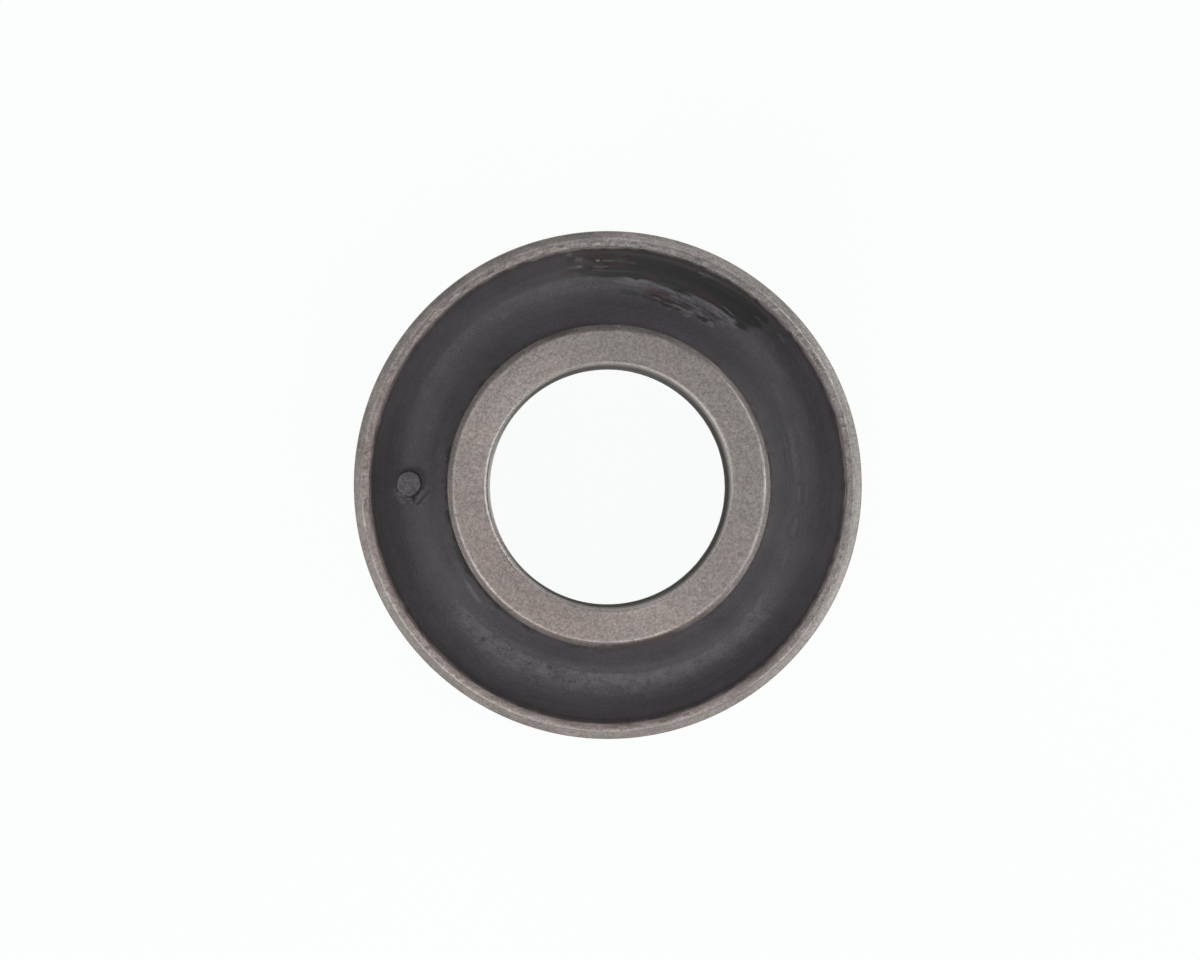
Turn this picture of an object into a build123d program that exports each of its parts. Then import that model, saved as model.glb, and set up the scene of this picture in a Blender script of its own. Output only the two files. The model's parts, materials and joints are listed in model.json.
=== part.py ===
# Bonded rubber-metal bush: a thick inner sleeve and a thin outer sleeve of steel,
# held together by a rubber body that is moulded and bonded between them.
# Sizes are in millimetres. The origin is the middle of the bore, and +Z runs along it.

import os
from math import cos, radians, sin, tan

from build123d import *

# Inner sleeve: the thick tube that a bolt or pin passes through and clamps endwise
bore_diameter = 30.0
inner_wall = 5.0
inner_length = 70.0
bore_chamfer = 0.6
inner_bevel = 0.6

# Outer sleeve: the thin tube that is pressed into an eye
outer_diameter = 63.0
outer_wall = 2.0
outer_length = 60.0
lead_in_depth = 0.8  # lead-in chamfer, across the wall
lead_in_run = 1.4  # lead-in chamfer, along the sleeve
rim_edge_break = 0.25  # light chamfer on the rim's inner edge

# Rubber body: each end has an annular groove, two straight flanks and a round floor
rubber_recess = 0.6  # rubber's edges, below the rim of the outer sleeve
groove_flank_angle = 40.0  # flanks, from the plane of the rim
groove_floor_radius = 4.5

# Gate stub: a low cone left on the groove's floor where the rubber was fed in
stub_top_diameter = 2.9
stub_height = 1.2  # top, above the lowest line of the floor
stub_draft = 27.0  # sides, from the bush's axis
stub_root = 0.6  # how far the cone carries on below the floor's lowest line
stub_direction = 180.0  # place round the axis, from +X

# Radii and levels that follow from the sizes above
bore_radius = bore_diameter / 2
inner_radius = bore_radius + inner_wall
outer_radius = outer_diameter / 2
seat_radius = outer_radius - outer_wall
rubber_edge = outer_length / 2 - rubber_recess
groove_radius = (inner_radius + seat_radius) / 2
flank = radians(groove_flank_angle)
groove_point = rubber_edge - (seat_radius - inner_radius) / 2 * tan(flank)
groove_floor = groove_point + groove_floor_radius * (1 / cos(flank) - 1)


def revolved(outline):
    """Solid of revolution about Z of a closed outline of (radius, height) points."""
    return revolve(Plane.XZ * make_face(Polyline(*outline, close=True)), Axis.Z)


def outer_sleeve():
    """Thin tube with a lead-in chamfer outside and a light edge break inside, at both ends."""
    end = outer_length / 2
    upper = [
        (seat_radius, end - rim_edge_break),
        (seat_radius + rim_edge_break, end),
        (outer_radius - lead_in_depth, end),
        (outer_radius, end - lead_in_run),
    ]
    lower = [(radius, -height) for radius, height in reversed(upper)]
    return revolved(upper + lower)


def inner_sleeve():
    """Thick tube with a chamfered bore and bevelled outer edges, at both ends."""
    end = inner_length / 2
    upper = [
        (bore_radius, end - bore_chamfer),
        (bore_radius + bore_chamfer, end),
        (inner_radius - inner_bevel, end),
        (inner_radius, end - inner_bevel),
    ]
    lower = [(radius, -height) for radius, height in reversed(upper)]
    return revolved(upper + lower)


def rubber_ring():
    """Rubber that fills the gap between the sleeves, with a round-floored groove at each end."""
    outline = Polyline(
        (inner_radius, -rubber_edge),
        (inner_radius, rubber_edge),
        (groove_radius, groove_point),
        (seat_radius, rubber_edge),
        (seat_radius, -rubber_edge),
        (groove_radius, -groove_point),
        close=True,
    )
    section = make_face(outline)
    groove_corners = section.vertices().sort_by(lambda corner: abs(corner.Y))[:2]
    section = fillet(groove_corners, groove_floor_radius)
    return revolve(Plane.XZ * section, Axis.Z)


def gate_stub():
    """Low cone on the upper groove's floor, rooted in the rubber below it."""
    top_radius = stub_top_diameter / 2
    height = stub_height + stub_root
    root_radius = top_radius + height * tan(radians(stub_draft))
    place = Pos(
        groove_radius * cos(radians(stub_direction)),
        groove_radius * sin(radians(stub_direction)),
        groove_floor - stub_root,
    )
    stands_on_root = (Align.CENTER, Align.CENTER, Align.MIN)
    return place * Cone(root_radius, top_radius, height, align=stands_on_root)


def rubber_body():
    """The moulded rubber in one piece: the ring and the gate stub."""
    return rubber_ring() + gate_stub()


nodes = {
    "outer_sleeve": outer_sleeve(),
    "rubber_body": rubber_body(),
    "inner_sleeve": inner_sleeve(),
}

os.makedirs("parts", exist_ok=True)
for name, solid in nodes.items():
    export_step(solid, f"parts/{name}.step")
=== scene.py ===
import json
import math

import bpy
import numpy as np
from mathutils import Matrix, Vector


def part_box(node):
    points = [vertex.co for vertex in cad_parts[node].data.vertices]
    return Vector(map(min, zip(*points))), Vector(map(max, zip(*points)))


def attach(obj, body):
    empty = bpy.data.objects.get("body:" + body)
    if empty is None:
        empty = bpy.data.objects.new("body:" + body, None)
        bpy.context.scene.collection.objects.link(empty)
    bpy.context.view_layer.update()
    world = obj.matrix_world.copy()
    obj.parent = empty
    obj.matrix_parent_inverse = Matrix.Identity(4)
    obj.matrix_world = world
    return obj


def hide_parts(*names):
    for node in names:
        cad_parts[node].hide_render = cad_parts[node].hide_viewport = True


# Looks of a bonded rubber-metal bush: two grit-blasted steel sleeves, and black rubber moulded between them.
# Sizes in the dictionaries are in millimetres and degrees. The bore runs along Z; its middle is the origin.

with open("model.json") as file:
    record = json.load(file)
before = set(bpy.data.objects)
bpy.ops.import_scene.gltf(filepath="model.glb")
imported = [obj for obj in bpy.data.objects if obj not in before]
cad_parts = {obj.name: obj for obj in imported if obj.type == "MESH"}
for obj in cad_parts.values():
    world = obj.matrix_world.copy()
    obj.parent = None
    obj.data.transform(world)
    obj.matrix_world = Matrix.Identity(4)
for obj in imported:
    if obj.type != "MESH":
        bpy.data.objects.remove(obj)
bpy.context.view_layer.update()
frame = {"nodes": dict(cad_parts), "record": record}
print("frame loaded:", sorted(frame["nodes"]))

mm = 0.001
mounts = {mount["name"]: mount for mount in frame["record"]["mounts"]}
boreRadius = mounts["bore"]["dims"]["r_mm"]
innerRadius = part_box("inner_sleeve")[1].x / mm
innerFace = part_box("inner_sleeve")[1].z / mm
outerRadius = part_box("outer_sleeve")[1].x / mm
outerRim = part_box("outer_sleeve")[1].z / mm
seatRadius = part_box("rubber_body")[1].x / mm
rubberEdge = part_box("rubber_body")[1].z / mm
grooveRadius = (innerRadius + seatRadius) / 2


def smoothStep(value, low, high):
    # Place of value between low and high as t, then 3t^2 - 2t^3
    t = np.clip((value - low) / (high - low), 0, 1)
    return t * t * (3 - 2 * t)


def window(value, low, high, soft):
    # 1 between low and high, down to 0 over the distance soft outside them
    return smoothStep(value, low - soft, low) * (1 - smoothStep(value, high, high + soft))


def lobe(degrees, centre, spread):
    # Bell round the turn: exp(-(difference / spread)^2)
    return np.exp(-(((degrees - centre + 180) % 360 - 180) / spread) ** 2)


def bells(degrees, places):
    # Sum of bells round the turn, each given as (strength, centre, spread)
    return sum(strength * lobe(degrees, centre, spread) for strength, centre, spread in places)


def unevenness(rng, along, angle, cell, turns, octaves=3):
    # Sum of octaves, each half as strong and twice as fine: random values on a lattice, blended smoothly.
    # The first octave's cells are cell mm long in the direction along, and there are turns of them round Z.
    total = 0
    for octave in range(octaves):
        count = turns * 2**octave
        row = (along - along.min()) * 2**octave / cell
        column = angle / (2 * math.pi) * count
        lattice = rng.uniform(-1, 1, (int(row.max()) + 2, count))
        i = np.floor(row).astype(int)
        j = np.floor(column).astype(int)
        u = smoothStep(row - i, 0, 1)
        v = smoothStep(column - j, 0, 1)
        low = lattice[i, j % count] * (1 - v) + lattice[i, (j + 1) % count] * v
        high = lattice[i + 1, j % count] * (1 - v) + lattice[i + 1, (j + 1) % count] * v
        total = total + (low * (1 - u) + high * u) / 2**octave
    return total


def stroke(radius, degrees, start, end, halfWidth, taper=0.25):
    # Bell across a line between two (radius, degrees) places: exp(-(distance / halfWidth)^2). It fades at
    # its ends over the share taper of its length.
    along = (degrees - start[1]) / (end[1] - start[1])
    centre = start[0] + (end[0] - start[0]) * along
    return np.exp(-((radius - centre) / halfWidth) ** 2) * window(along, taper, 1 - taper, taper)


def roundedOutline(corners):
    # Closed outline of (radius, height, fillet, spacing) corners: each corner is an arc tangent to both
    # its sides, and the arc and the side after it are divided about every spacing
    place = np.array([corner[:2] for corner in corners], float)
    ahead = np.roll(place, -1, 0) - place
    ahead /= np.linalg.norm(ahead, axis=1, keepdims=True)
    arcs = []
    for k, (radius, height, fillet, spacing) in enumerate(corners):
        before, after = ahead[k - 1], ahead[k]
        turn = math.atan2(before[0] * after[1] - before[1] * after[0], float(before @ after))
        start = place[k] - before * fillet * math.tan(abs(turn) / 2)
        side = np.array([-before[1], before[0]]) * math.copysign(1, turn)
        centre = start + side * fillet
        steps = max(3, math.ceil(fillet * abs(turn) / spacing) + 1)
        sweep = np.linspace(0, turn, steps)
        spoke = start - centre
        arcs.append(centre + np.stack([
            spoke[0] * np.cos(sweep) - spoke[1] * np.sin(sweep),
            spoke[0] * np.sin(sweep) + spoke[1] * np.cos(sweep),
        ], 1))
    points = []
    for arc, following, corner in zip(arcs, arcs[1:] + arcs[:1], corners):
        run = following[0] - arc[-1]
        inside = np.linspace(0, 1, max(1, round(np.linalg.norm(run) / corner[3])) + 1)[1:-1, None]
        points += [arc, arc[-1] + run * inside]
    return np.concatenate(points)


def lengthAlong(outline):
    # Distance from the first point along the outline, one row for each of its points
    steps = np.linalg.norm(np.diff(outline, axis=0), axis=1)
    return np.concatenate([[0], np.cumsum(steps)])[:, None]


def bothEnds(upper, wall, coarser=1.0):
    # Corners of the upper end and the same ones upside down, spaced coarser times as widely; wall is the
    # spacing along the long sides between the ends
    spacing = [corner[3] for corner in upper[:-1]]
    lower = [(radius, -height, fillet, step * coarser)
             for (radius, height, fillet, _), step in zip(upper[:0:-1], spacing[::-1])]
    first = upper[0]
    last = upper[-1]
    return upper[:-1] + [(*last[:3], wall)] + lower + [(first[0], -first[1], first[2], wall)]


def spreadAngles(count, crowded=()):
    # count angles round one turn; inside each (first, last, factor) span they stand factor times as close
    fine = np.linspace(0, 360, 7201)
    density = np.ones_like(fine)
    for first, last, factor in crowded:
        density += (factor - 1) * window(fine, first, last, 4)
    share = np.cumsum(density) - density[0]
    return np.radians(np.interp(np.arange(count) / count, share / share[-1], fine))


def turnedPoints(outline, angles, shift=0.0):
    # Surface of revolution: outline moved by shift along its outward normal, then (r cos a, r sin a, z)
    chord = np.roll(outline, -1, 0) - np.roll(outline, 1, 0)
    normal = np.stack([chord[:, 1], -chord[:, 0]], 1) / np.linalg.norm(chord, axis=1, keepdims=True)
    radius = outline[:, :1] + normal[:, :1] * shift
    height = outline[:, 1:] + normal[:, 1:] * shift
    radius, height, angle = np.broadcast_arrays(radius, height, angles[None])
    return np.stack([radius * np.cos(angle), radius * np.sin(angle), height], -1)


def meshFromGrid(name, points, material, node, masks):
    # Mesh of a grid of points that closes on itself both ways; quads run round Z first, so they face outwards
    rows, columns = points.shape[:2]
    index = np.arange(rows * columns).reshape(rows, columns)
    right = np.roll(index, -1, 1)
    quads = np.stack([index, right, np.roll(right, -1, 0), np.roll(index, -1, 0)], -1).reshape(-1, 4)
    mesh = bpy.data.meshes.new(name)
    mesh.from_pydata((points.reshape(-1, 3) * mm).tolist(), [], quads.tolist())
    mesh.polygons.foreach_set("use_smooth", np.ones(len(quads), bool))
    for maskName, values in masks.items():
        layer = mesh.attributes.new(maskName, "FLOAT", "POINT")
        layer.data.foreach_set("value", np.broadcast_to(values, (rows, columns)).astype(np.float32).ravel())
    mesh.update()
    mesh.materials.append(material)
    piece = bpy.data.objects.new(name, mesh)
    bpy.context.scene.collection.objects.link(piece)
    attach(piece, "root")
    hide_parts(node)
    print(name, "has", len(quads) * 2, "triangles")


def linearColour(hexCode):
    # sRGB to linear: c / 12.92 up to 0.04045, else ((c + 0.055) / 1.055) ^ 2.4
    channel = np.array([int(hexCode[k:k + 2], 16) for k in (1, 3, 5)]) / 255
    linear = np.where(channel <= 0.04045, channel / 12.92, ((channel + 0.055) / 1.055) ** 2.4)
    return (*linear.tolist(), 1.0)


def addNode(tree, kind, settings=None, inputs=None):
    # One node with its settings; each input is given by name or number, as a value or as a socket to link
    node = tree.nodes.new(kind)
    for key, value in (settings or {}).items():
        setattr(node, key, value)
    for key, value in (inputs or {}).items():
        if isinstance(value, bpy.types.NodeSocket):
            tree.links.new(value, node.inputs[key])
        else:
            node.inputs[key].default_value = value
    return node


def cells(size):
    # Texture scale, in cells per metre, of a pattern whose cells are size millimetres wide
    return 1 / (size * mm)


def newMaterial(name, roughness):
    # Material, its node tree, its shader and the object's coordinates
    material = bpy.data.materials.new(name)
    material.use_nodes = True
    tree = material.node_tree
    shader = tree.nodes["Principled BSDF"]
    shader.inputs["Roughness"].default_value = roughness
    return material, tree, shader, addNode(tree, "ShaderNodeTexCoord").outputs["Object"]


print("making materials")

steelLook = {
    "dull": "#5d5855", "bright": "#97918e",  # pits and tips of the blasted surface
    "pinkOxide": "#8d7e7b", "greenOxide": "#797674",
    # Bare edges are also painted highlights, adhesive is also painted shade, and the dark grey after it is
    # painted shade in the bore
    "bareEdgeAndHighlight": "#c2bcb7", "adhesive": "#3b2c27", "dullDarkColour": "#534d49",
    "grain": 0.3, "patch": 5.0, "drift": 45.0,
    "speckle": (0.36, 0.66), "oxideSpan": (0.6, 1.4), "oxideShare": 0.45,
    "wornAndLitSpan": (0.3, 0.55), "wornAndLitLeast": 0.35, "glueAndShadeSpan": (0.35, 0.6), "glueAndShadeLeast": 0.4,
    "roughness": 0.42, "dullDarkRoughness": 0.85, "bump": 0.5, "bumpDepth": 0.04,
}


def blastedSteel(name, look):
    # Mild steel tube, grit-blasted for bonding: dull grey metal speckled by its pits, faint oxide tints
    # that drift from pinkish to greenish across the part, bare metal on rubbed edges with painted highlights,
    # brown adhesive next to the rubber with painted shade, and dull dark grey painted as shade in the bore
    material, tree, shader, place = newMaterial(name, look["roughness"])
    grain = addNode(tree, "ShaderNodeTexNoise", inputs={
        "Vector": place, "Scale": cells(look["grain"]), "Detail": 3.0, "Roughness": 0.65}).outputs["Fac"]
    patch = addNode(tree, "ShaderNodeTexNoise", inputs={
        "Vector": place, "Scale": cells(look["patch"]), "Detail": 3.0, "Roughness": 0.6}).outputs["Fac"]
    across = addNode(tree, "ShaderNodeVectorMath", {"operation": "DOT_PRODUCT"}, {
        0: place, 1: (cells(look["drift"]) * 0.7, cells(look["drift"]) * 0.7, 0)}).outputs["Value"]
    drift = addNode(tree, "ShaderNodeMath", {"operation": "MULTIPLY_ADD"}, {
        0: patch, 1: 2.0, 2: across}).outputs[0]
    side = addNode(tree, "ShaderNodeMapRange", inputs={
        "Value": drift, "From Min": look["oxideSpan"][0],
        "From Max": look["oxideSpan"][1]}).outputs["Result"]
    oxide = addNode(tree, "ShaderNodeMixRGB", inputs={
        "Fac": side, "Color1": linearColour(look["pinkOxide"]), "Color2": linearColour(look["greenOxide"])})
    speck = addNode(tree, "ShaderNodeMapRange", inputs={
        "Value": grain, "From Min": look["speckle"][0], "From Max": look["speckle"][1]}).outputs["Result"]
    blasted = addNode(tree, "ShaderNodeMixRGB", inputs={
        "Fac": speck, "Color1": linearColour(look["dull"]), "Color2": linearColour(look["bright"])})
    metal = addNode(tree, "ShaderNodeMixRGB", inputs={
        "Fac": look["oxideShare"], "Color1": blasted.outputs["Color"], "Color2": oxide.outputs["Color"]})
    # Dull dark grey, not metal: painted shade in the bore
    dullDark = addNode(tree, "ShaderNodeAttribute", {"attribute_name": "dullDark"}).outputs["Fac"]
    dullDarkened = addNode(tree, "ShaderNodeMixRGB", inputs={
        "Fac": dullDark, "Color1": metal.outputs["Color"], "Color2": linearColour(look["dullDarkColour"])})
    # The rubbed mask is bare metal plus painted highlights and glints on edges, broken up by the grain
    wornAndLit = addNode(tree, "ShaderNodeMath", {"operation": "MULTIPLY"}, {
        0: addNode(tree, "ShaderNodeAttribute", {"attribute_name": "wearAndHighlight"}).outputs["Fac"],
        1: addNode(tree, "ShaderNodeMapRange", inputs={
            "Value": grain, "From Min": look["wornAndLitSpan"][0], "From Max": look["wornAndLitSpan"][1],
            "To Min": look["wornAndLitLeast"]}).outputs["Result"]})
    edged = addNode(tree, "ShaderNodeMixRGB", inputs={
        "Fac": wornAndLit.outputs[0], "Color1": dullDarkened.outputs["Color"],
        "Color2": linearColour(look["bareEdgeAndHighlight"])})
    # Brown adhesive, which also stands for painted shade on the bevels and chamfers, broken up by the patches
    glueAndShade = addNode(tree, "ShaderNodeMath", {"operation": "MULTIPLY"}, {
        0: addNode(tree, "ShaderNodeAttribute", {"attribute_name": "glueAndShadeMask"}).outputs["Fac"],
        1: addNode(tree, "ShaderNodeMapRange", inputs={
            "Value": patch, "From Min": look["glueAndShadeSpan"][0], "From Max": look["glueAndShadeSpan"][1],
            "To Min": look["glueAndShadeLeast"]}).outputs["Result"]})
    colour = addNode(tree, "ShaderNodeMixRGB", inputs={
        "Fac": glueAndShade.outputs[0], "Color1": edged.outputs["Color"], "Color2": linearColour(look["adhesive"])})
    tree.links.new(colour.outputs["Color"], shader.inputs["Base Color"])
    bare = addNode(tree, "ShaderNodeMath", {"operation": "SUBTRACT"}, {0: 1.0, 1: dullDark})
    clean = addNode(tree, "ShaderNodeMath", {"operation": "SUBTRACT"}, {0: 1.0, 1: glueAndShade.outputs[0]})
    metallic = addNode(tree, "ShaderNodeMath", {"operation": "MULTIPLY"}, {
        0: bare.outputs[0], 1: clean.outputs[0]})
    tree.links.new(metallic.outputs[0], shader.inputs["Metallic"])
    dullness = addNode(tree, "ShaderNodeMapRange", inputs={
        "Value": dullDark, "To Min": look["roughness"], "To Max": look["dullDarkRoughness"]})
    tree.links.new(dullness.outputs["Result"], shader.inputs["Roughness"])
    bump = addNode(tree, "ShaderNodeBump", inputs={
        "Height": grain, "Strength": look["bump"], "Distance": look["bumpDepth"] * mm})
    tree.links.new(bump.outputs["Normal"], shader.inputs["Normal"])
    return material


rubberLook = {
    "base": "#312e31", "bloom": "#514e52",
    # The smear colour also paints shade; the rubbed colour also paints sheen and highlights
    "darkening": "#292828", "wearAndHighlight": "#646266", "redBrown": "#3d2a2c", "tan": "#7b736f", "adhesive": "#857a75",
    "grain": 0.22, "patch": 4.0, "flowLength": 9.0, "flowWidth": 0.4,
    "grainShare": 0.6, "patchShare": 0.4, "flowShare": 0.15, "bloomSpan": (0.325, 0.825),
    "maskSpan": (0.1, 0.6),  # mask times pattern at which a stain begins and is whole
    "roughness": 0.58, "darkeningRoughness": 0.8, "bump": 0.9, "bumpDepth": 0.04, "bumpFlow": 0.25,
}


def mouldedRubber(name, look):
    # Black natural rubber as it leaves the mould: dull, lighter where sulphur and wax have bloomed, with
    # flow lines that run round the groove. A wet dark smear and painted shade, rubbed spots and painted
    # sheen and highlights, red-brown and tan streaks and the brown adhesive at its borders are masks on the
    # mesh, broken up by the same fine patterns.
    material, tree, shader, place = newMaterial(name, look["roughness"])
    grain = addNode(tree, "ShaderNodeTexNoise", inputs={
        "Vector": place, "Scale": cells(look["grain"]), "Detail": 3.0, "Roughness": 0.6}).outputs["Fac"]
    patch = addNode(tree, "ShaderNodeTexNoise", inputs={
        "Vector": place, "Scale": cells(look["patch"]), "Detail": 5.0, "Roughness": 0.72}).outputs["Fac"]
    flat = addNode(tree, "ShaderNodeVectorMath", {"operation": "MULTIPLY"}, {
        0: place, 1: (1, 1, 0)}).outputs[0]
    spoke = addNode(tree, "ShaderNodeVectorMath", {"operation": "NORMALIZE"}, {0: flat}).outputs[0]
    turn = addNode(tree, "ShaderNodeVectorMath", {"operation": "SCALE"}, {
        0: spoke, "Scale": grooveRadius / look["flowLength"]}).outputs[0]
    distance = addNode(tree, "ShaderNodeVectorMath", {"operation": "LENGTH"}, {0: flat}).outputs["Value"]
    across = addNode(tree, "ShaderNodeMath", {"operation": "MULTIPLY"}, {
        0: distance, 1: cells(look["flowWidth"])}).outputs[0]
    across = addNode(tree, "ShaderNodeCombineXYZ", inputs={"Z": across})
    flow = addNode(tree, "ShaderNodeTexNoise", inputs={
        "Vector": addNode(tree, "ShaderNodeVectorMath", {"operation": "ADD"}, {
            0: turn, 1: across.outputs[0]}).outputs[0],
        "Scale": 1.0, "Detail": 2.0, "Roughness": 0.5}).outputs["Fac"]
    mixture = addNode(tree, "ShaderNodeMath", {"operation": "MULTIPLY_ADD"}, {
        0: patch, 1: look["patchShare"], 2: addNode(tree, "ShaderNodeMath", {"operation": "MULTIPLY"}, {
            0: grain, 1: look["grainShare"]}).outputs[0]})
    mixture = addNode(tree, "ShaderNodeMath", {"operation": "MULTIPLY_ADD"}, {
        0: flow, 1: look["flowShare"], 2: mixture.outputs[0]})
    bloomed = addNode(tree, "ShaderNodeMapRange", inputs={
        "Value": mixture.outputs[0], "From Min": look["bloomSpan"][0], "From Max": look["bloomSpan"][1]})
    colour = addNode(tree, "ShaderNodeMixRGB", inputs={
        "Fac": bloomed.outputs["Result"], "Color1": linearColour(look["base"]),
        "Color2": linearColour(look["bloom"])}).outputs["Color"]
    darkeningAmount = None
    for mask, pattern in (("darkening", flow), ("wearAndHighlight", grain), ("redBrown", flow), ("tan", grain),
                          ("adhesive", patch)):
        strength = addNode(tree, "ShaderNodeAttribute", {"attribute_name": mask}).outputs["Fac"]
        broken = addNode(tree, "ShaderNodeMath", {"operation": "MULTIPLY"}, {0: strength, 1: pattern})
        amount = addNode(tree, "ShaderNodeMapRange", inputs={
            "Value": broken.outputs[0], "From Min": look["maskSpan"][0],
            "From Max": look["maskSpan"][1]}).outputs["Result"]
        colour = addNode(tree, "ShaderNodeMixRGB", inputs={
            "Fac": amount, "Color1": colour, "Color2": linearColour(look[mask])}).outputs["Color"]
        darkeningAmount = darkeningAmount or amount
    tree.links.new(colour, shader.inputs["Base Color"])
    # The smear and the painted shade drawn in its colour are duller
    gloss = addNode(tree, "ShaderNodeMapRange", inputs={
        "Value": darkeningAmount, "To Min": look["roughness"], "To Max": look["darkeningRoughness"]})
    tree.links.new(gloss.outputs["Result"], shader.inputs["Roughness"])
    texture = addNode(tree, "ShaderNodeMath", {"operation": "MULTIPLY_ADD"}, {
        0: flow, 1: look["bumpFlow"], 2: grain})
    bump = addNode(tree, "ShaderNodeBump", inputs={
        "Height": texture.outputs[0], "Strength": look["bump"], "Distance": look["bumpDepth"] * mm})
    tree.links.new(bump.outputs["Normal"], shader.inputs["Normal"])
    return material


steel = blastedSteel("grit-blasted steel", steelLook)
rubber = mouldedRubber("moulded black rubber", rubberLook)


innerSleeve = {
    "offCentre": (0.12, -0.16),  # where it sits in the moulded rubber
    "bevel": 0.68, "boreEdge": 0.5, "edge": 0.12, "wall": 4.0, "columns": 720, "seed": 11,
    # Unevenness: length of its cells, and their number round the turn
    "rough": (0.5, 220), "wobble": (3.0, 36),
    # Wear with painted glints, and adhesive with painted shade, round the turn, as (strength, centre, spread)
    "bevelWearAndGlint": [(0.3, 200, 35), (0.3, 0, 25), (-0.3, 105, 35)],
    "boreWearAndGlint": [
        (-0.38, 182, 46), (0.35, 0, 50), (-0.3, 80, 42), (-0.3, 283, 25), (0.15, 345, 30), (-0.25, 108, 18),
    ],
    "glueAndShade": [
        (0.2, 115, 30), (-0.3, 185, 32), (-0.2, 0, 12), (0.7, 27, 17), (0.75, 280, 26), (0.4, 287, 15),
        (0.15, 320, 20),
    ],
}
face = [
    (innerRadius, innerFace - innerSleeve["bevel"], innerSleeve["edge"], 0.1),
    (innerRadius - innerSleeve["bevel"], innerFace, innerSleeve["edge"], 0.22),
    (boreRadius, innerFace, innerSleeve["boreEdge"], 0.08),
]
outline = roundedOutline(bothEnds(face, innerSleeve["wall"]))
angles = spreadAngles(innerSleeve["columns"])
rng = np.random.default_rng(innerSleeve["seed"])
radius, height = outline[:, :1], outline[:, 1:]
degrees = np.degrees(angles)[None]
nearFace = smoothStep(np.abs(height), innerFace - 1.2, innerFace - 0.3)
along, turn = np.broadcast_arrays(lengthAlong(outline), angles[None])
rough = unevenness(rng, along, turn, *innerSleeve["rough"])
wobble = unevenness(rng, along, turn, *innerSleeve["wobble"])
shift = nearFace * (0.008 * rough + 0.012 * wobble - 0.035)
bevelEdge = np.hypot(radius - innerRadius + innerSleeve["bevel"], np.abs(height) - innerFace)
onBevel = smoothStep(radius, innerRadius - 0.8, innerRadius - 0.6)
onWall = 1 - smoothStep(radius, boreRadius, boreRadius + 0.12)
onEdge = smoothStep(radius, boreRadius - 0.06, boreRadius + 0.14) * (
    1 - smoothStep(radius, boreRadius + 0.25, boreRadius + 0.6)) * nearFace
inner = 1 - smoothStep(radius, boreRadius + 2.0, boreRadius + 2.8)
lip = nearFace * np.exp(-((radius - boreRadius - 0.5) / 0.14) ** 2)
farSide = lobe(degrees, 180, 42)
upperSide = lobe(degrees, 80, 42)
lowerSide = lobe(degrees, 270, 62)
# Painted highlights: glints along the bevel's edge, the bore's edge and its lip, lighter patches on the face
# towards 142° and 288°, and painted light on the bore wall, more towards its top and its far side at 180°;
# some bare metal rubbed on the edges
wearAndHighlight = (
    np.exp(-(bevelEdge / 0.15) ** 2) * np.clip(
        0.3 + 0.3 * wobble + bells(degrees, innerSleeve["bevelWearAndGlint"]), 0, 1)
    + nearFace * ((0.06 + 0.1 * inner) * lobe(degrees, 142, 38) + 0.1 * lobe(degrees, 288, 20))
    + onEdge * (0.85 + bells(degrees, innerSleeve["boreWearAndGlint"]))
    + 0.45 * lip * lowerSide
    + 0.75 * upperSide * window(radius, boreRadius - 0.1, boreRadius + 0.15, 0.1) * nearFace
    + onWall * (0.17 + (0.35 + 0.35 * lobe(degrees, 18, 38)) * smoothStep(height, 0, innerFace) + farSide))
# Painted shade in the bore: its wall and edge dull and dark, less on the sides towards 180° and 80°, with
# faint dark patches on the face towards 240° and 72°
inBore = 1 - smoothStep(radius, boreRadius + 0.25, boreRadius + 0.5)
dullDark = (
    0.45 * (onWall + inBore * (1 - upperSide * (0.5 + 0.5 * nearFace))) * (1 - 0.95 * farSide)
    + 0.5 * upperSide * lip
    + 0.08 * nearFace * (inner * lobe(degrees, 240, 18) + (1 - inner) * lobe(degrees, 72, 12)))
# Brown adhesive on the bevel, with painted shade that darkens it towards its foot and towards 27° and 280°,
# and painted shade on the face's outer edge towards 105°
below = innerFace - np.abs(height)
faceEdgeShade = nearFace * smoothStep(radius, innerRadius - 1.0 + 0.12 * rough, innerRadius - 0.6)
glueAndShadeMask = (
    onBevel * smoothStep(below, 0.0, 0.45) * (
        0.34 + 0.15 * wobble + 0.25 * rough * (0.4 + lobe(degrees, 75, 35))
        + bells(degrees, innerSleeve["glueAndShade"]))
    + 0.3 * faceEdgeShade * lobe(degrees, 105, 35))
points = turnedPoints(outline, angles, shift) + np.array([*innerSleeve["offCentre"], 0])
meshFromGrid("innerSleeve", points, steel, "inner_sleeve",
             {"wearAndHighlight": wearAndHighlight, "glueAndShadeMask": glueAndShadeMask, "dullDark": dullDark})


outerSleeve = {
    "depth": 0.94, "run": 1.4, "break": 0.08, "edge": 0.12, "wall": 4.0, "columns": 900, "seed": 12,
    "rough": (0.5, 320), "wobble": (3.0, 50),
    # Wear with painted highlights, and adhesive with painted shade, round the turn, as (strength, centre,
    # spread)
    "shoulderWearAndGlint": [(0.5, 222, 45), (0.3, 45, 35)],
    "leadInWearAndGlint": [(0.45, 347, 35), (0.2, 230, 50), (0.3, 72, 15), (0.08, 195, 45), (0.16, 292, 28)],
    "glueAndShade": [(0.6, 275, 35), (0.2, 8, 16)],
}
face = [
    (outerRadius, outerRim - outerSleeve["run"], outerSleeve["edge"], 0.15),
    (outerRadius - outerSleeve["depth"], outerRim, outerSleeve["edge"], 0.12),
    (seatRadius + outerSleeve["break"], outerRim, outerSleeve["break"] / 2, 0.06),
    (seatRadius, outerRim - outerSleeve["break"], outerSleeve["break"] / 2, outerSleeve["wall"]),
]
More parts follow.
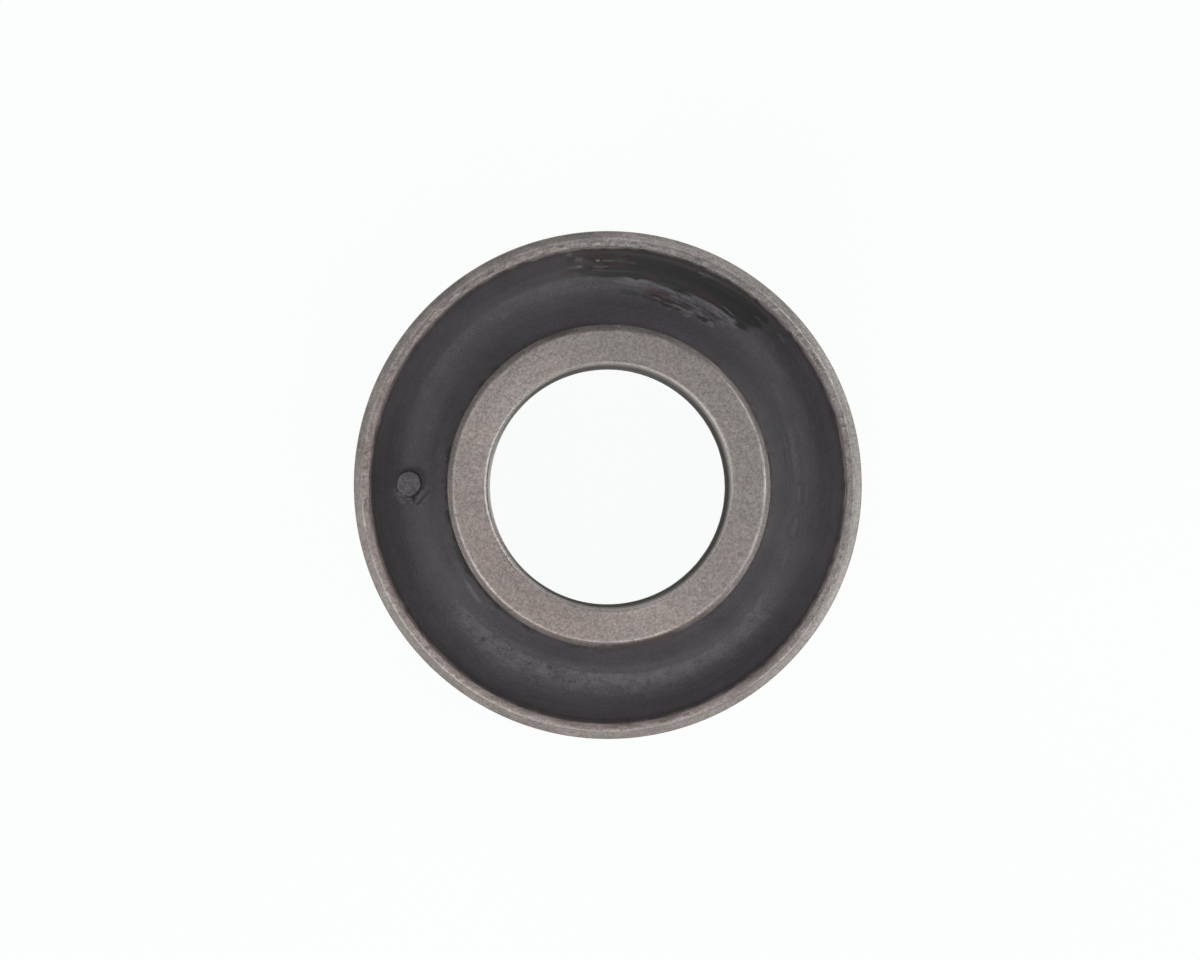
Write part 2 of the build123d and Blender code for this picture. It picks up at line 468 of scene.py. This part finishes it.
outline = roundedOutline(bothEnds(face, outerSleeve["wall"]))
angles = spreadAngles(outerSleeve["columns"])
rng = np.random.default_rng(outerSleeve["seed"])
radius, height = outline[:, :1], outline[:, 1:]
degrees = np.degrees(angles)[None]
nearFace = smoothStep(np.abs(height), outerRim - 2.2, outerRim - 1.0) * smoothStep(
    radius, seatRadius + 0.1, seatRadius + 0.4)
along, turn = np.broadcast_arrays(lengthAlong(outline), angles[None])
rough = unevenness(rng, along, turn, *outerSleeve["rough"])
wobble = unevenness(rng, along, turn, *outerSleeve["wobble"])
shift = nearFace * (1 - smoothStep(radius, outerRadius - 0.4, outerRadius - 0.05)) * (
    0.034 * rough + 0.014 * wobble - 0.06 * smoothStep(radius, seatRadius + 0.5, outerRadius - 0.5)) - 0.012
rimEdge = np.hypot(radius - outerRadius + outerSleeve["depth"], np.abs(height) - outerRim)
shoulder = np.exp(-(rimEdge / 0.16) ** 2)
onLead = window(radius, outerRadius - 0.7, outerRadius - 0.15, 0.15) * nearFace
# Painted highlights: a bright line along the shoulder and on the lead-in chamfer, strongest towards 222°, 45°
# and 347°, over bare metal rubbed on the shoulder; wear speckle on the face, and the rim lighter towards 92°
wearAndHighlight = (
    shoulder * (0.5 + 0.3 * wobble + bells(degrees, outerSleeve["shoulderWearAndGlint"]))
    + 0.2 * nearFace * np.maximum(rough, 0)
    + onLead * (0.02 + 0.12 * wobble + bells(degrees, outerSleeve["leadInWearAndGlint"]))
    + 0.18 * nearFace * (1 - onLead) * lobe(degrees, 92, 13))
# Adhesive next to the rubber; painted shade on the lead-in chamfer towards 125°, and the rim darker towards
# 236° and 312°
glueReach = seatRadius + 0.5 + 0.15 * wobble + 0.7 * lobe(degrees, 268, 35)
nextToRubber = (1 - smoothStep(radius, seatRadius, glueReach)) * (
    0.35 + 0.2 * wobble + bells(degrees, outerSleeve["glueAndShade"]))
onFlat = window(radius, seatRadius + 0.4, seatRadius + 1.1, 0.4)
glueAndShadeMask = (
    nextToRubber * (1 - 0.6 * lobe(degrees, 115, 35))
    + 0.35 * onLead * lobe(degrees, 125, 40)
    + nearFace * (1 - shoulder) * (0.15 * lobe(degrees, 236, 22) + 0.3 * onFlat * lobe(degrees, 312, 28)))
# The dull dark mask on the shoulder makes its painted highlight dull rather than metallic
meshFromGrid("outerSleeve", turnedPoints(outline, angles, shift), steel, "outer_sleeve",
             {"wearAndHighlight": wearAndHighlight, "glueAndShadeMask": glueAndShadeMask, "dullDark": 0.4 * shoulder})


rubberBody = {
    "flank": 40.0, "floor": 4.5,
    "edge": 0.06, "columns": 880, "wall": 25.0, "seed": 13,
    "crowded": [(38, 106, 3.0), (173, 187, 5.0)],  # columns stand closer here: from, to, how many times
    # Unevenness: length of its cells, their number round the turn, and octaves
    "flow": (0.8, 20, 3), "lumps": (0.3, 500, 2), "wide": (5.0, 14, 3), "shreds": (0.34, 120, 2),
    "lines": (0.4, 40, 2), "streaks": (0.35, 90, 2), "crust": (0.7, 190, 2), "clots": (0.9, 170, 2),
    # The gate stub: a flat-topped cone with a ragged collar on its lower left and a torn notch at its lower
    # right. Its marks are lines in its own plan: from x, y to x, y, and half width.
    "stub": {
        "radius": 24.66, "angle": 179.55, "top": 1.47, "height": 1.2, "side": 0.15,
        "collar": 0.95, "collarAt": 252,
        "gash": [(1.45, -0.72, 0.66, -1.62, 0.08), (0.66, -1.62, 0.74, -2.35, 0.08)],
        "crease": (2.26, -0.95, 1.05, -2.5, 0.11), "sliver": (1.75, -0.72, 1.0, -1.95, 0.08),
        "fold": (2.75, -1.1, 1.2, -2.8, 0.14),
    },
    "smearDips": [(-0.4, 71.2, 2.6), (-0.12, 76, 2.5), (-0.25, 82.3, 1.1), (-0.2, 90, 3)],
    # Tears, stains, light and dark marks, mostly on the groove's outer half, as (start, end, half width,
    # height or strength), each end as (radius, degrees)
    "tears": [
        ((25.5, 58), (25.75, 50.5), 0.3, 0.16), ((24.45, 80), (24.6, 71), 0.3, -0.16),
        ((24.15, 76), (24.15, 69.8), 0.3, -0.12), ((25.85, 71), (25.55, 66), 0.15, -0.18),
        ((25.5, 71.2), (24.75, 68.2), 0.09, -0.14), ((25.4, 70.5), (25.1, 65.8), 0.1, 0.14),
        ((24.35, 70.2), (24.3, 64), 0.1, -0.14), ((24.78, 69), (24.9, 62.2), 0.08, -0.12),
        ((24.6, 62.4), (24.72, 55), 0.08, -0.12), ((24.1, 77.4), (23.8, 69.6), 0.13, 0.12),
        ((23.92, 71.5), (23.76, 63), 0.13, 0.14), ((23.4, 73), (23.62, 62.4), 0.12, -0.07),
        ((23.75, 63.8), (23.93, 58), 0.12, -0.1), ((24.1, 63.2), (23.98, 60.2), 0.18, 0.12),
        ((23.68, 59.2), (23.98, 56.6), 0.17, 0.12), ((23.12, 66.4), (23.14, 63.8), 0.12, 0.08),
        ((26.22, 57.6), (25.75, 52.3), 0.08, -0.14), ((26.42, 58), (26.08, 52.3), 0.08, 0.1),
        ((26.66, 56.6), (26.28, 52.7), 0.08, -0.07),
    ],
    "redMarks": [
        ((24.5, 80.8), (24.7, 70.5), 0.22, 1.1), ((24.25, 79), (24.35, 70.2), 0.24, 1.1),
        ((23.95, 75), (23.95, 70), 0.2, 0.9), ((24.1, 77), (23.9, 63), 0.15, 0.7),
        ((26.55, 80.6), (26.42, 75.6), 0.26, 1.0), ((26.85, 70), (26.6, 67), 0.24, 1.0),
        ((26.8, 66.5), (26.7, 63.5), 0.2, 0.6), ((26.45, 65.2), (26.45, 58.8), 0.24, 1.1),
        ((26.35, 59.8), (26.28, 56.6), 0.2, 1.0), ((27.95, 88.2), (27.8, 84), 0.5, 0.6),
        ((28.3, 94.4), (28.3, 91), 0.3, 0.7), ((27.9, 101), (27.9, 97.8), 0.35, 0.4),
        ((28.8, 80), (28.7, 67), 0.32, 0.6), ((28.1, 93.5), (28.1, 90.5), 0.15, 0.5),
    ],
    "tanMarks": [
        ((29.0, 100.6), (29.0, 98.6), 0.2, 0.65), ((28.2, 98.8), (28.1, 95.8), 0.4, 0.5),
        ((27.3, 97.9), (27.3, 96.8), 0.15, 1.1), ((27.3, 98.9), (27.3, 95.8), 0.32, 0.4),
        ((27.87, 93.2), (27.86, 91.9), 0.15, 1.05), ((27.82, 92), (27.8, 87.5), 0.2, 0.5),
        ((27.12, 94.6), (27.1, 88.8), 0.09, 0.6), ((27.85, 88.6), (27.8, 84.6), 0.42, 0.3),
        ((27.72, 85.4), (27.66, 82.2), 0.22, 0.36), ((28.35, 66), (28.35, 64), 0.1, 0.4),
    ],
    "lightMarks": [
        ((25.55, 84.5), (25.65, 81.2), 0.1, 0.8), ((25.3, 89), (25.25, 84), 0.14, 0.7),
        ((25.15, 86), (24.95, 79), 0.13, 0.6), ((25.4, 70.5), (25.1, 65.8), 0.1, 1.1),
        ((25.25, 73.5), (25.3, 70.5), 0.12, 1.1), ((24.1, 77.4), (23.8, 69.6), 0.12, 1.2),
        ((23.92, 71.5), (23.76, 63), 0.16, 2.2), ((24.55, 67.4), (24.6, 62.6), 0.1, 0.7),
        ((24.1, 63.2), (23.98, 60.2), 0.19, 1.1), ((23.15, 71.3), (23.15, 70), 0.26, 0.9),
        ((23.12, 66.4), (23.14, 63.8), 0.12, 0.9), ((23.68, 59.2), (23.98, 56.6), 0.17, 1.1),
        ((24.3, 69.6), (24.25, 68.6), 0.1, 0.8), ((23.35, 75.5), (23.3, 73), 0.11, 0.6),
        ((25.45, 60), (25.72, 50.5), 0.3, 1.0), ((26.42, 58), (26.08, 52.3), 0.1, 0.9),
        ((26.0, 56), (25.45, 51), 0.09, 0.9), ((24.1, 59), (25.4, 49), 0.3, 0.6),
        ((24.1, 57.5), (24.4, 53), 0.12, 0.6), ((24.0, 88), (24.0, 84), 0.14, 0.4),
        ((27.8, 50), (27.75, 44.4), 0.13, 0.6), ((28.2, 42.8), (28.2, 38.2), 0.18, 0.5),
        ((28.65, 67.4), (28.8, 63.2), 0.1, 0.8), ((28.42, 67), (28.5, 64), 0.07, 0.6),
        ((23.95, 272.2), (24.2, 270.7), 0.09, 0.9), ((20.9, 204), (21.35, 217), 0.16, 0.6),
        ((21.2, 212.5), (21.52, 224), 0.32, 1.1), ((25.6, 42), (25.5, 31), 0.5, 0.38),
        ((24.05, 33), (23.9, 23), 0.5, 0.4), ((23.6, 22), (23.45, 0), 0.45, 0.4),
        ((23.75, 11), (23.6, 0), 0.3, 0.36), ((24.7, 362), (24.75, 353), 0.25, 0.36),
        ((23.7, 361), (23.8, 353), 0.3, 0.5), ((23.85, 351), (23.7, 343.5), 0.36, 0.5),
        ((23.6, 341), (24.05, 333), 0.26, 0.45),
    ],
    "darkMarks": [
        ((24.15, 87.5), (23.9, 79), 0.36, 0.6), ((24.05, 83.8), (24.05, 81.2), 0.3, 0.65),
        ((23.95, 81), (23.55, 73), 0.3, 0.65), ((23.5, 75), (23.4, 68.6), 0.17, 0.85),
        ((23.42, 70), (23.52, 66.4), 0.12, 0.8), ((23.56, 66.6), (23.66, 62.6), 0.1, 0.6),
        ((23.78, 63), (23.93, 58), 0.1, 0.7), ((23.85, 60.4), (23.92, 58.4), 0.12, 0.9),
        ((25.5, 71.2), (24.75, 68.2), 0.09, 1.1), ((25.85, 70.4), (25.58, 65.4), 0.15, 1.1),
        ((24.78, 69), (24.9, 62.2), 0.08, 1.0), ((24.35, 70.2), (24.3, 64), 0.09, 1.0),
        ((24.6, 62.4), (24.72, 55), 0.08, 0.9), ((23.5, 60.4), (23.55, 58.4), 0.1, 0.7),
        ((26.22, 57.6), (25.78, 52.3), 0.08, 1.0), ((26.66, 56.6), (26.28, 52.7), 0.08, 0.7),
        ((24.9, 322.8), (24.8, 321.2), 0.1, 0.9),
    ],
    "markGain": 1.1,
}
groovePoint = rubberEdge - (seatRadius - innerRadius) / 2 * math.tan(math.radians(rubberBody["flank"]))
face = [
    (seatRadius, rubberEdge, rubberBody["edge"], 0.19),
    (grooveRadius, groovePoint, rubberBody["floor"], 0.115),
    (innerRadius, rubberEdge, rubberBody["edge"], rubberBody["wall"]),
]
outline = roundedOutline(bothEnds(face, rubberBody["wall"], coarser=5.0))
angles = spreadAngles(rubberBody["columns"], rubberBody["crowded"])
points = turnedPoints(outline, angles)
radius = np.hypot(points[..., 0], points[..., 1])
degrees = np.broadcast_to(np.degrees(angles), radius.shape)
onTop = (points[..., 2] > 0).astype(float)
clear = window(radius, innerRadius + 0.5, seatRadius - 0.5, 0.45)
rng = np.random.default_rng(rubberBody["seed"])
turn = np.radians(degrees)
flow = unevenness(rng, radius, turn, *rubberBody["flow"])
lumps = unevenness(rng, radius, turn, *rubberBody["lumps"])
wide = unevenness(rng, radius, turn, *rubberBody["wide"])
shreds = unevenness(rng, radius, turn, *rubberBody["shreds"])
lines = unevenness(rng, radius, turn, *rubberBody["lines"])
streaks = unevenness(rng, radius, turn, *rubberBody["streaks"])
crust = unevenness(rng, radius, turn, *rubberBody["crust"])
clots = unevenness(rng, radius, turn, *rubberBody["clots"])
fromRight = (degrees + 180) % 360 - 180


def band(start, whole, fading, end):
    # Ring round Z: rises from radius start to whole, and falls from radius fading to end
    return smoothStep(radius, start, whole) * (1 - smoothStep(radius, fading, end))


# The rubber creeps up the outer sleeve's edge
creep = onTop * smoothStep(radius, seatRadius - 0.55, seatRadius)
overlap = np.clip(crust, 0, 1)
points[..., 2] += creep * (0.56 + 0.07 * overlap)
points[..., :2] *= 1 + ((0.09 + 0.09 * overlap) * creep / radius)[..., None]

stub = rubberBody["stub"]
stubX = points[..., 0] - stub["radius"] * math.cos(math.radians(stub["angle"]))
stubY = points[..., 1] - stub["radius"] * math.sin(math.radians(stub["angle"]))
stubReach = np.hypot(stubX, stubY)
stubTurn = np.degrees(np.arctan2(stubY, stubX)) % 360
run = stub["side"] + stub["collar"] * (1 + 0.35 * lumps) * lobe(stubTurn, stub["collarAt"], 48)
stubSide = (1 - np.clip((stubReach - stub["top"]) / run, 0, 1)) ** 1.5
floorRise = rubberBody["floor"] * (1 / math.cos(math.radians(rubberBody["flank"])) - 1)
stubTop = groovePoint + floorRise + stub["height"]
raised = np.maximum(points[..., 2], points[..., 2] + (stubTop - points[..., 2]) * stubSide)


def cut(fromX, fromY, toX, toY, halfWidth):
    # Bell across a straight line in the stub's own plan: exp(-(distance / halfWidth)^2)
    run = np.array([toX - fromX, toY - fromY])
    along = np.clip(((stubX - fromX) * run[0] + (stubY - fromY) * run[1]) / (run @ run), 0, 1)
    away = np.hypot(stubX - fromX - run[0] * along, stubY - fromY - run[1] * along)
    return np.exp(-(away / halfWidth) ** 2)


gash = np.max([cut(*line) for line in stub["gash"]], 0)
crease = cut(*stub["crease"])
sliver = cut(*stub["sliver"])
raised = raised - 0.17 * gash - 0.14 * crease + 0.12 * sliver + 0.05 * cut(*stub["fold"])

# The dark smear of torn rubber on the groove's outer flank, with a ragged lower edge
smearEdge = (
    25.95 + 0.05 * flow + 0.04 * lines + 0.05 * shreds + bells(degrees, rubberBody["smearDips"])
    - 0.5 * (1 - smoothStep(degrees, 51, 57)))
smearEnd = 48.6 - (radius - 26.0) * 1.6 + 1.2 * flow
smearSoft = 0.08 + 0.16 * smoothStep(degrees, 84, 92) + 0.25 * (1 - smoothStep(degrees, 50, 54))
darkening = (
    1.35 * onTop * smoothStep(radius, smearEdge - smearSoft, smearEdge + smearSoft)
    * smoothStep(degrees, smearEnd - 2.0, smearEnd + 2.0) * (1 - 0.35 * smoothStep(degrees, 92, 98))
    * (1 - smoothStep(degrees + 2.5 * lines, 97.5, 102.5)) * (1 - 0.5 * smoothStep(radius, 28.4, 28.9)))
# A ridge of smeared rubber lines the smear's lower edge, steep on its outer side
ridgeSpan = onTop * window(degrees, 55, 81, 9)
ridge = ridgeSpan * band(smearEdge - 1.0, smearEdge - 0.25, smearEdge - 0.2, smearEdge + 0.1)
scoop = onTop * window(radius, smearEdge + 0.1, 27.2, 1.0) * window(degrees, 52, 96, 6)
torn = sum(height * stroke(radius, degrees, start, end, halfWidth)
           for start, end, halfWidth, height in rubberBody["tears"])
damaged = onTop * window(radius + 0.03 * (degrees - 66), 23.3, 24.9, 0.25) * window(degrees, 57, 73, 2.5)
pitted = onTop * window(radius, 22.9, 24.7, 0.6) * window(degrees, 168, 262, 14) * (
    0.3 + 0.7 * smoothStep(degrees, 212, 232))
onRight = np.maximum(window(degrees, 0, 18, 9), window(degrees, 338, 361, 9))
drawn = onTop * (
    window(radius, 22.4, 24.6, 0.5) * onRight
    + window(radius, 20.9, 21.7, 0.3) * window(degrees, 208, 222, 6))
raised = raised + onTop * clear * (
    torn + 0.2 * ridge - 0.08 * scoop + 0.02 * wide + 0.012 * flow + 0.01 * lumps + 0.012 * darkening * lines
    + 0.15 * damaged * shreds + 0.03 * pitted * lumps + 0.03 * drawn * lines)
points[..., 2] = np.where(onTop > 0, raised, points[..., 2])
nextToSleeve = 1 - smoothStep(radius, innerRadius, innerRadius + 2.5)
points[..., :2] += nextToSleeve[..., None] * np.array(innerSleeve["offCentre"])


def marked(name):
    # Strongest of the named marks at each point
    return onTop * rubberBody["markGain"] * np.max([
        strength * stroke(radius, degrees, start, end, halfWidth)
        for start, end, halfWidth, strength in rubberBody[name]], 0)


# Painted light on the stub's top, more on its side towards 190°, and a painted highlight on the collar's
# lower left
onStub = onTop * (1 - smoothStep(stubReach, stub["top"], stub["top"] + 0.16))
stubLight = onStub * (0.6 + 0.4 * lumps + 0.25 * smoothStep(stubReach, 1.0, 1.3) * lobe(stubTurn, 190, 70))
collarLight = onTop * 0.75 * window(stubReach, 1.5, 2.4, 0.4) * lobe(stubTurn, 246, 40) * (1 + 0.7 * lumps)
# The light band along the ridge: rubbed rubber with painted sheen
ridgeLight = ridgeSpan * window(radius, 25.05 + 0.2 * lobe(degrees, 74, 4), smearEdge - 0.12, 0.14) * (
    0.8 + 0.4 * lines + 0.25 * shreds - 0.3 * lobe(degrees, 78, 6))
flakes = (
    damaged * np.clip(0.15 + 1.1 * shreds, 0, 1)
    + 0.4 * drawn * np.clip(1.2 * lines + 0.5 * lumps, 0, 1)
    + 0.5 * pitted * np.clip(lumps, 0, 1))
# Bloom with painted sheen, palest along the groove's floor, on the lower half and at the upper left
bend = lobe(degrees, 300, 20)
lowerFloor = window(degrees, 228, 316, 20) * band(23.1 + 0.5 * bend, 23.5 + 0.7 * bend, 24.6, 27.6)
upperFloor = window(degrees, 95, 150, 15) * band(23.2, 24.4, 25.9, 26.15)
bloomAndSheen = onTop * (0.44 + 0.22 * lumps + 0.12 * wide + 0.2 * clots) * (lowerFloor + 0.5 * upperFloor)
# Painted light next to the inner sleeve, towards 90° and 225°
innerZone = onTop * 0.33 * np.maximum(window(degrees, 65, 118, 18), window(degrees, 212, 238, 14)) * window(
    radius, 20.6, 22.0, 0.5)
holes = damaged * np.clip(-1.1 * shreds, 0, 1) + pitted * np.clip(-1.4 * lumps - 0.5, 0, 0.9)
# Painted shade under the outer sleeve's edge, in bands on both flanks, and round the inner sleeve, partly
# adhesive there; drawn in the smear colour
underEdge = (
    0.37 * (1 + 1.1 * lobe(degrees, 208, 38))
    * band(seatRadius - 2.0, seatRadius - 0.7, seatRadius - 0.45, seatRadius - 0.3)
    + 0.3 * overlap * smoothStep(radius, seatRadius - 1.1, seatRadius - 0.5))
outerFlank = (
    0.4 * window(degrees, 100, 150, 25) * band(25.95, 26.2, 26.6, 27.8)
    + 0.3 * window(fromRight, -2, 46, 9) * band(25.9, 26.3, 26.8, 27.7)
    + 0.45 * lobe(degrees, 42, 7) * smoothStep(radius, 26.6, 27.6))
innerFlank = (
    0.3 * lobe(degrees, 195, 20) * window(radius, 22.3, 22.9, 0.4)
    + 0.42 * lobe(degrees, 210, 20) * window(radius, 20.2, 20.75, 0.25)
    + 0.45 * window(fromRight, -6, 25, 9) * window(radius, 22.2, 23.0, 0.35))
roundSleeve = (
    (0.42 + 0.4 * lobe(degrees, 195, 40) - 0.35 * lobe(degrees, 92, 30)) * (1 + 0.6 * crust)
    * (1 - smoothStep(radius, innerRadius + 0.1 + 0.15 * overlap, innerRadius + 0.7 + 0.25 * overlap)))
paintedShade = onTop * (underEdge + outerFlank + innerFlank + roundSleeve)
stained = onTop * window(radius, 26.6, 28.9, 0.3) * window(degrees, 86, 100, 3)
border = 1.4 * smoothStep(radius, seatRadius - 0.34 + 0.12 * crust, seatRadius) * (
    1 - 0.6 * lobe(degrees, 268, 35))
# Many dark marks lie in the tears' creases and under the ridge, and are painted shade there
dark = marked("darkMarks")
# The light marks near 50° to 60° carry on the ridge's painted sheen; the sliver's light is a painted
# highlight
light = np.max([
    bloomAndSheen, innerZone, marked("lightMarks"), stubLight, collarLight, ridgeLight, flakes, 0.9 * sliver], 0)
# The smear mask also holds painted shade in the stub's gash and crease, and the painted shade bands
meshFromGrid("rubberBody", points, rubber, "rubber_body", {
    "darkening": np.max([darkening, dark, holes, 0.75 * gash, 0.6 * crease, paintedShade], 0),
    "wearAndHighlight": light * (1 - 0.8 * np.clip(dark, 0, 1)),
    "redBrown": np.maximum(marked("redMarks"), stained * np.clip(1.1 * streaks, 0, 0.8)),
    "tan": np.maximum(marked("tanMarks"), stained * np.clip(-0.9 * streaks - 0.2, 0, 0.3)),
    "adhesive": border,
})


print("setting the stage")

studio = {
    "halfTable": 3000.0,
    "paper": "#fdfffe", "paperFibres": ("#f2f3f3", "#fafbfb"), "fibre": 0.5, "paperRoughness": 0.9,
    "lampShare": 0.04,  # share of the table's brightness that comes from the lamps
    "ambient": 0.1,
    "wallTop": 0.25, "wallFade": 0.3, "wallLevel": 1.0, "shadedSide": 120.0, "shade": 0.35,
    "lampDistance": 900.0,
    # Azimuth from +X, elevation, level and diameter; level 1 makes a white sheet that faces the lamp white
    "lamps": {
        "right": (0, 38, 0.29, 450.0),
        "lowerLeft": (212, 38, 0.285, 450.0),
        "front": (270, 62, 0.28, 450.0),
        "lowRight": (30, 15, 0.20, 450.0),
        "upperLeft": (120, 38, 0.165, 450.0),
        "overhead": (270, 89, 0.126, 450.0),
        "lowFront": (330, 15, 0.14, 450.0),
    },
}


def whiteWhereSeen(tree, shader, white, mirrored=1.0):
    # Mixes a white glow into shader for camera, glossy and transmission rays, so that metal shows the white
    # too. mirrored is the glossy rays' share.
    path = addNode(tree, "ShaderNodeLightPath").outputs
    glossy = addNode(tree, "ShaderNodeMath", {"operation": "MULTIPLY"}, {
        0: path["Is Glossy Ray"], 1: mirrored})
    seen = addNode(tree, "ShaderNodeMath", {"operation": "MAXIMUM"}, {
        0: path["Is Camera Ray"], 1: glossy.outputs[0]}).outputs[0]
    seen = addNode(tree, "ShaderNodeMath", {"operation": "MAXIMUM"}, {
        0: seen, 1: path["Is Transmission Ray"]}).outputs[0]
    amount = addNode(tree, "ShaderNodeMath", {"operation": "MULTIPLY"}, {0: seen, 1: white}).outputs[0]
    glow = addNode(tree, "ShaderNodeEmission", inputs={"Color": linearColour(studio["paper"])})
    mixed = addNode(tree, "ShaderNodeMixShader", inputs={0: amount, 1: shader, 2: glow.outputs[0]})
    return mixed.outputs[0]


tableMesh = bpy.data.meshes.new("table")
half = studio["halfTable"] * mm
low = -innerFace * mm
tableMesh.from_pydata([(-half, -half, low), (half, -half, low), (half, half, low), (-half, half, low)],
                      [], [(0, 1, 2, 3)])
table = bpy.data.objects.new("table", tableMesh)
bpy.context.scene.collection.objects.link(table)
paper, tree, shader, place = newMaterial("white paper sheet", studio["paperRoughness"])
fibres = addNode(tree, "ShaderNodeTexNoise", inputs={"Vector": place, "Scale": cells(studio["fibre"])})
shade = addNode(tree, "ShaderNodeMixRGB", inputs={
    "Fac": fibres.outputs["Fac"], "Color1": linearColour(studio["paperFibres"][0]),
    "Color2": linearColour(studio["paperFibres"][1])})
tree.links.new(shade.outputs["Color"], shader.inputs["Base Color"])
surface = whiteWhereSeen(tree, shader.outputs[0], 1 - studio["lampShare"])
tree.links.new(surface, tree.nodes["Material Output"].inputs["Surface"])
tableMesh.materials.append(paper)

world = bpy.data.worlds.new("studio")
bpy.context.scene.world = world
world.use_nodes = True
tree = world.node_tree
tree.nodes.clear()
# The studio's white walls stand low round the table; the one towards shadedSide is mostly in shade
direction = addNode(tree, "ShaderNodeTexCoord").outputs["Generated"]
height = addNode(tree, "ShaderNodeSeparateXYZ", inputs={"Vector": direction}).outputs["Z"]
wall = addNode(tree, "ShaderNodeMapRange", {"interpolation_type": "SMOOTHSTEP"}, {
    "Value": height, "From Min": studio["wallTop"], "From Max": studio["wallTop"] + studio["wallFade"],
    "To Min": studio["wallLevel"], "To Max": 0.0}).outputs["Result"]
shadedSide = math.radians(studio["shadedSide"])
facing = addNode(tree, "ShaderNodeVectorMath", {"operation": "DOT_PRODUCT"}, {
    0: direction, 1: (math.cos(shadedSide), math.sin(shadedSide), 0)}).outputs["Value"]
shade = addNode(tree, "ShaderNodeMapRange", {"interpolation_type": "SMOOTHSTEP"}, {
    "Value": facing, "From Min": 0.0, "From Max": 1.0,
    "To Min": 1.0, "To Max": studio["shade"]}).outputs["Result"]
mirrored = addNode(tree, "ShaderNodeMath", {"operation": "MULTIPLY"}, {0: wall, 1: shade}).outputs[0]
ambient = addNode(tree, "ShaderNodeBackground", inputs={"Strength": studio["ambient"]})
surface = whiteWhereSeen(tree, ambient.outputs[0], 1.0, mirrored)
tree.links.new(surface, addNode(tree, "ShaderNodeOutputWorld").inputs["Surface"])

for name, (azimuth, elevation, level, diameter) in studio["lamps"].items():
    lamp = bpy.data.lights.new(name, "AREA")
    lamp.shape = "DISK"
    lamp.size = diameter * mm
    distance = studio["lampDistance"] * mm
    lamp.energy = level * math.pi**2 * distance**2
    holder = bpy.data.objects.new(name, lamp)
    bpy.context.scene.collection.objects.link(holder)
    a, e = math.radians(azimuth), math.radians(elevation)
    holder.location = (distance * math.cos(e) * math.cos(a), distance * math.cos(e) * math.sin(a),
                       distance * math.sin(e))
    holder.rotation_euler = (0, math.pi / 2 - e, a)
    holder.visible_camera = False

viewPoint = {
    "place": (-5.6, -2.7, 1900.0), "aim": (-0.98, 0.61, 35.0),
    "pixelsPerMm": 8.067,  # at the outer sleeve's shoulder, in a picture 1200 pixels wide
    "pictureWidth": 1200, "sensor": 36.0, "reach": 20000.0,
}
camera = bpy.data.cameras.new("camera")
drop = viewPoint["place"][2] - (outerRim - outerSleeve["run"])
camera.sensor_width = viewPoint["sensor"]
camera.lens = viewPoint["pixelsPerMm"] * drop * viewPoint["sensor"] / viewPoint["pictureWidth"]
camera.clip_end = viewPoint["reach"] * mm
holder = bpy.data.objects.new("camera", camera)
bpy.context.scene.collection.objects.link(holder)
gaze = np.array(viewPoint["aim"]) - np.array(viewPoint["place"])
holder.location = np.array(viewPoint["place"]) * mm
holder.rotation_euler = (math.atan(gaze[1] / -gaze[2]), -math.atan(gaze[0] / -gaze[2]), 0)
bpy.context.scene.camera = holder

bpy.context.scene.view_settings.view_transform = "Standard"
